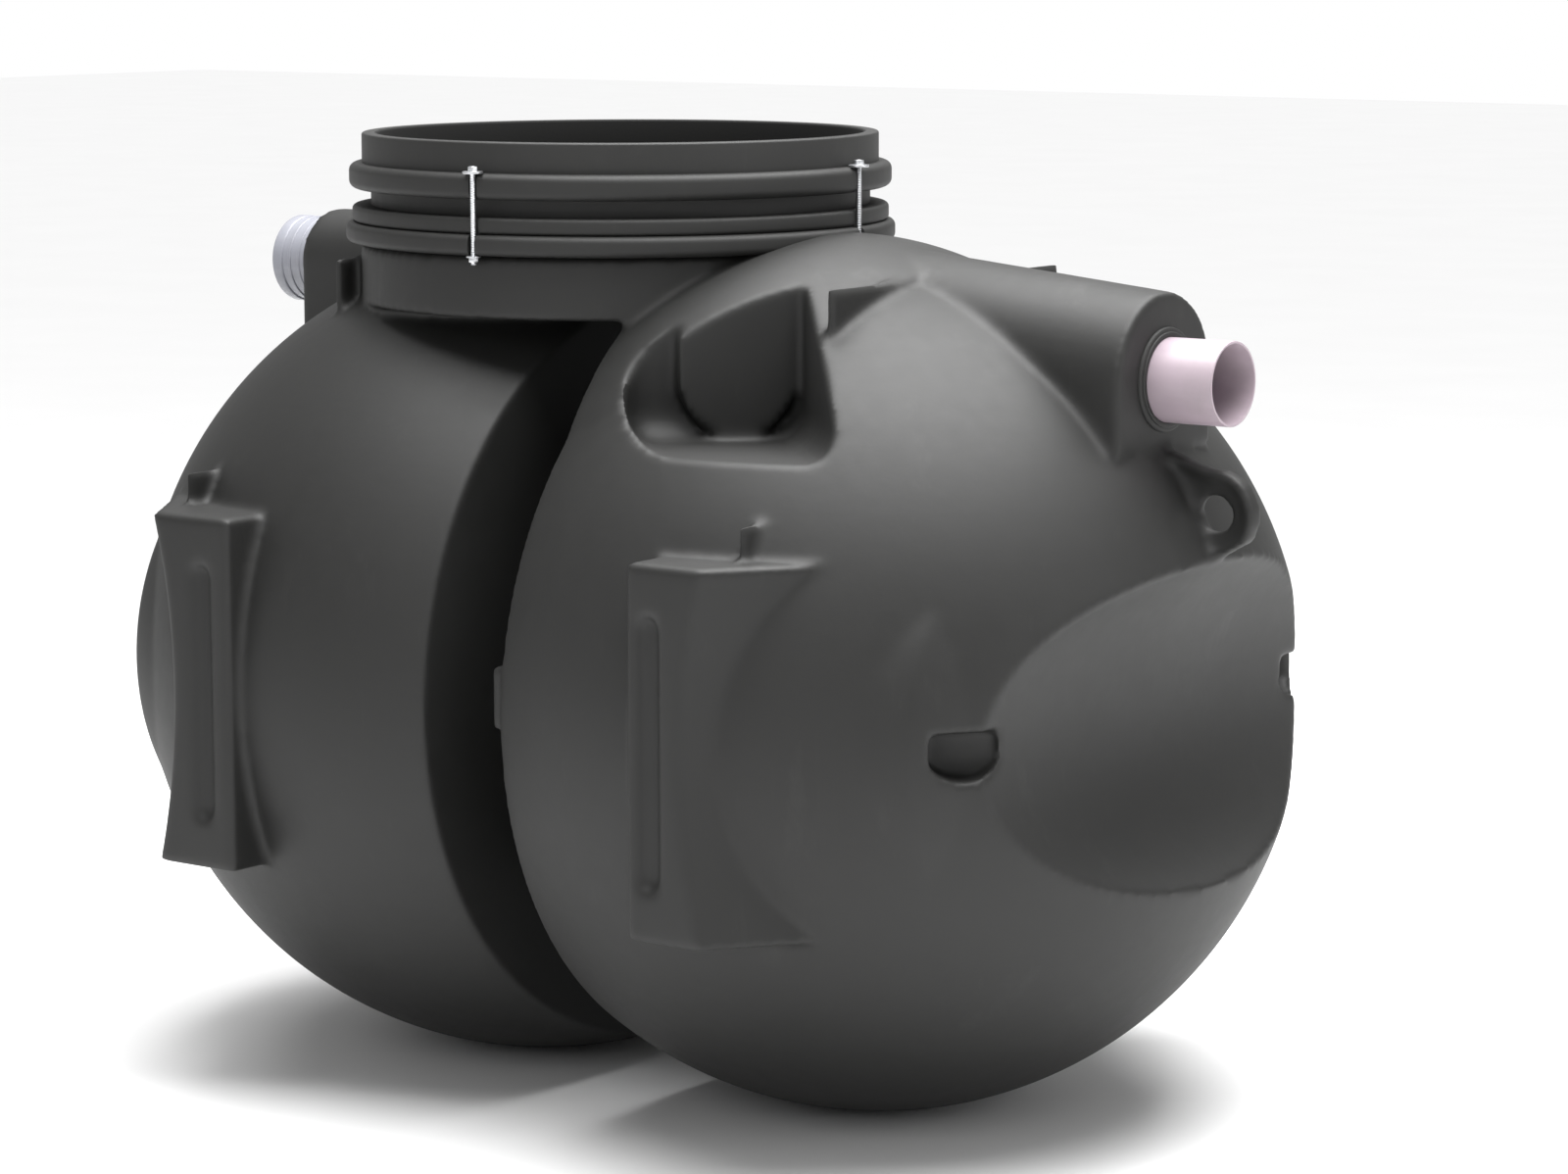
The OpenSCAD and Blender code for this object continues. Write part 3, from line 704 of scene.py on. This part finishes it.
# %% Pipes, rubber and zinc
def drawn_plastic(name, low, high):
    f = Finish(name, IOR=1.5)
    streak = f.noise(45.0, 3, 0.5, (0.05, 1, 1))
    dirt = f.ramp(f.noise(14.0, 6, 0.65), [(0.52, 0), (0.75, 1)])
    shade = f.mix(streak, low, high)
    shade = f.mix(dirt * 0.25, shade, (0.22, 0.20, 0.19, 1))
    return f.set(Base_Color=shade, Roughness=0.28 + 0.12 * streak + 0.2 * dirt,
                 Normal=f.bump(streak, 0.15, 0.0004))


def black_rubber():
    f = Finish("seal_rubber", IOR=1.5)
    fine = f.noise(500.0, 3, 0.6)
    dust = f.noise(25.0, 5, 0.6)
    shade = f.mix(dust, (0.008, 0.008, 0.008, 1), (0.022, 0.022, 0.021, 1))
    return f.set(Base_Color=shade, Roughness=0.55 + 0.2 * dust, Normal=f.bump(fine, 0.3, 0.0004))


def zinc():
    f = Finish("zinc_steel", Metallic=1.0)
    spangle = f.noise(260.0, 4, 0.6)
    streak = f.noise(120.0, 2, 0.5, (1, 1, 0.1))
    shade = f.mix(spangle, (0.55, 0.56, 0.58, 1), (0.85, 0.86, 0.88, 1))
    return f.set(Base_Color=shade, Roughness=0.25 + 0.2 * streak, Normal=f.bump(spangle, 0.2, 0.0002))


PIPE = drawn_plastic("pipe_plastic", (0.33, 0.265, 0.305, 1), (0.42, 0.35, 0.39, 1))
SOCKET = drawn_plastic("socket_plastic", (0.20, 0.205, 0.235, 1), (0.30, 0.305, 0.34, 1))
RUBBER, ZINC = black_rubber(), zinc()
for piece, material in ((pipe, PIPE), (socket, SOCKET), (outlet_seal, RUBBER), (inlet_seal, RUBBER),
                        (bolts, ZINC), (washers, ZINC), (nuts, ZINC)):
    finish(piece, material)
print("finishes done")

# %% [markdown]
# The tank is photographed in a white studio. The camera stands at its outlet end, low and to one side, with
# a long lens. A large soft light hangs above, weak ones fill the front and the end, and a very soft light
# straight from above keeps the pale floor even as far as one sees.

# %% Camera
lens = bpy.data.cameras.new("camera")
camera = bpy.data.objects.new("camera", lens)
bpy.context.scene.collection.objects.link(camera)
# The camera was fitted to the tank's outlines in the photo: this is its place and turn, and the focal length
# is in pixels of a picture that is 1600 wide.
FOCAL_PX, PHOTO_PX, SENSOR = 4600, 1600, 36
camera.matrix_world = Matrix(((0.801113991, -0.0867141566, 0.592196781, 3.808339),
                              (0.598509204, 0.118980276, -0.792231296, -4.91824047),
                              (-0.00176206808, 0.9891028, 0.147215985, 1.60336807), (0, 0, 0, 1)))
lens.sensor_width, lens.sensor_fit = SENSOR, "HORIZONTAL"
lens.lens = FOCAL_PX * SENSOR / PHOTO_PX
lens.clip_end = 100
bpy.context.scene.camera = camera


def soft_light(name, at, aim, size, power):
    """A rectangular light at one point, turned to another."""
    data = bpy.data.lights.new(name, "AREA")
    data.shape, data.size, data.size_y, data.energy = "RECTANGLE", size[0], size[1], power
    lamp = bpy.data.objects.new(name, data)
    bpy.context.scene.collection.objects.link(lamp)
    lamp.location = at
    lamp.rotation_euler = (Vector(aim) - Vector(at)).to_track_quat("-Z", "Y").to_euler()


soft_light("top_light", (0.4, 0.2, 3.6), (0, 0, 0.6), (3.6, 3.4), 290)
soft_light("front_light", (1.0, -4.5, 2.6), (0, 0, 0.6), (3.0, 2.0), 20)
soft_light("end_light", (5.0, 0.5, 1.8), (0, 0, 0.7), (2.0, 2.5), 30)
ceiling = bpy.data.lights.new("ceiling_light", "SUN")
ceiling.energy, ceiling.angle = 2.2, math.radians(60)
bpy.context.scene.collection.objects.link(bpy.data.objects.new("ceiling_light", ceiling))
FILL = 0.42  # the white room lights the tank with this strength, while the camera sees it pure white
world = bpy.data.worlds.new("studio")
bpy.context.scene.world = world
world.use_nodes = True
backdrop = world.node_tree.nodes["Background"]
backdrop.inputs["Color"].default_value = (1, 1, 1, 1)
seen = world.node_tree.nodes.new("ShaderNodeLightPath").outputs["Is Camera Ray"]
strength = world.node_tree.nodes.new("ShaderNodeMapRange")
strength.inputs["To Min"].default_value = FILL
world.node_tree.links.new(seen, strength.inputs["Value"])
world.node_tree.links.new(strength.outputs["Result"], backdrop.inputs["Strength"])
bpy.context.scene.view_settings.view_transform = "Standard"
only_none()
bpy.ops.mesh.primitive_plane_add(size=60, location=(0, 0, 0))
floor = named("studio_floor")
pale = Finish("pale_floor", Roughness=0.9)
shade = pale.mix(pale.noise(2.0), (0.84, 0.84, 0.84, 1), (0.88, 0.88, 0.88, 1))
floor.data.materials.append(pale.set(Base_Color=shade))
print("camera, lights and floor ready")
